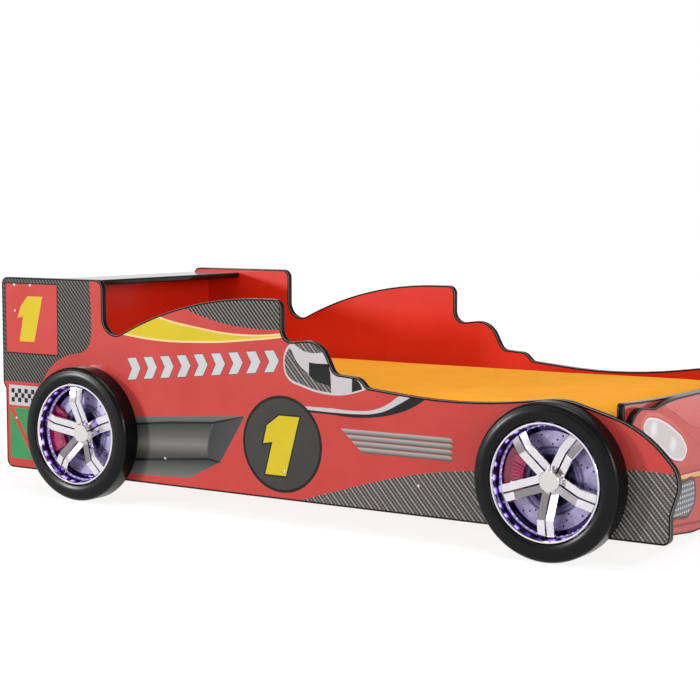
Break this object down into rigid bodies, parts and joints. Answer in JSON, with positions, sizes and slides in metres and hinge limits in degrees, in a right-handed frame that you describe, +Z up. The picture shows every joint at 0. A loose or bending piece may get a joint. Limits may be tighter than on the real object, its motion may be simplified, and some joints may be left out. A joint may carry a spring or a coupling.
{
  "type": "car bed for children",
  "caption": "Children's bed shaped as a racing car: printed side boards, tail shelf, lit dummy wheels, slats and a lift-out mattress.",
  "frame": {"origin": "on the floor, at the middle of the bed's length and width", "axes": "+X towards the nose of the car, +Y towards its left side, +Z up"},
  "size_m": [2.246, 1.0818, 0.659],
  "materials": {
    "printed_board": "satin",
    "black_board": "gloss",
    "edging": "gloss",
    "softwood": "matte",
    "glide_plastic": "matte",
    "tyre_shell": "matte",
    "metallised_rim": "mirror gloss",
    "disc_plastic": "satin",
    "caliper_red": "gloss",
    "light_strip": "satin",
    "driver_box": "matte",
    "mattress_cover": "matte",
    "zinc_steel": "satin"
  },
  "bodies": {
    "bed": {"brake_disc_front_left": "disc_plastic", "brake_disc_front_right": "disc_plastic", "brake_disc_rear_left": "disc_plastic", "brake_disc_rear_right": "disc_plastic", "caliper_front_left": "caliper_red", "caliper_front_right": "caliper_red", "caliper_rear_left": "caliper_red", "caliper_rear_right": "caliper_red", "foot_board": "printed_board", "foot_board_edging": "edging", "headboard": "printed_board", "hub_cap_front_left": "metallised_rim", "hub_cap_front_right": "metallised_rim", "hub_cap_rear_left": "metallised_rim", "hub_cap_rear_right": "metallised_rim", "leg_front_left": "softwood", "leg_front_right": "softwood", "leg_glides": "glide_plastic", "leg_rear_left": "softwood", "leg_rear_right": "softwood", "light_driver": "driver_box", "light_ring_front_left": "light_strip", "light_ring_front_right": "light_strip", "light_ring_rear_left": "light_strip", "light_ring_rear_right": "light_strip", "nose_board": "printed_board", "nose_board_edging": "edging", "nose_screws": "zinc_steel", "rail_screws": "zinc_steel", "rim_front_left": "metallised_rim", "rim_front_right": "metallised_rim", "rim_rear_left": "metallised_rim", "rim_rear_right": "metallised_rim", "side_edging_left": "edging", "side_edging_right": "edging", "side_panel_left": "printed_board", "side_panel_right": "printed_board", "slat_01": "softwood", "slat_02": "softwood", "slat_03": "softwood", "slat_04": "softwood", "slat_05": "softwood", "slat_06": "softwood", "slat_07": "softwood", "slat_08": "softwood", "slat_09": "softwood", "slat_10": "softwood", "slat_11": "softwood", "slat_12": "softwood", "slat_rail_left": "softwood", "slat_rail_right": "softwood", "tail_shelf": "black_board", "tyre_front_left": "tyre_shell", "tyre_front_right": "tyre_shell", "tyre_rear_left": "tyre_shell", "tyre_rear_right": "tyre_shell", "wall_screws": "zinc_steel", "wheel_bolts": "zinc_steel"},
    "mattress": {"mattress": "mattress_cover"}
  },
  "joints": [
    {"name": "mattress_lift", "type": "slide", "parent": "bed", "child": "mattress", "axis": [0, 0, 1], "range_m": [0, 0.24]}
  ]
}
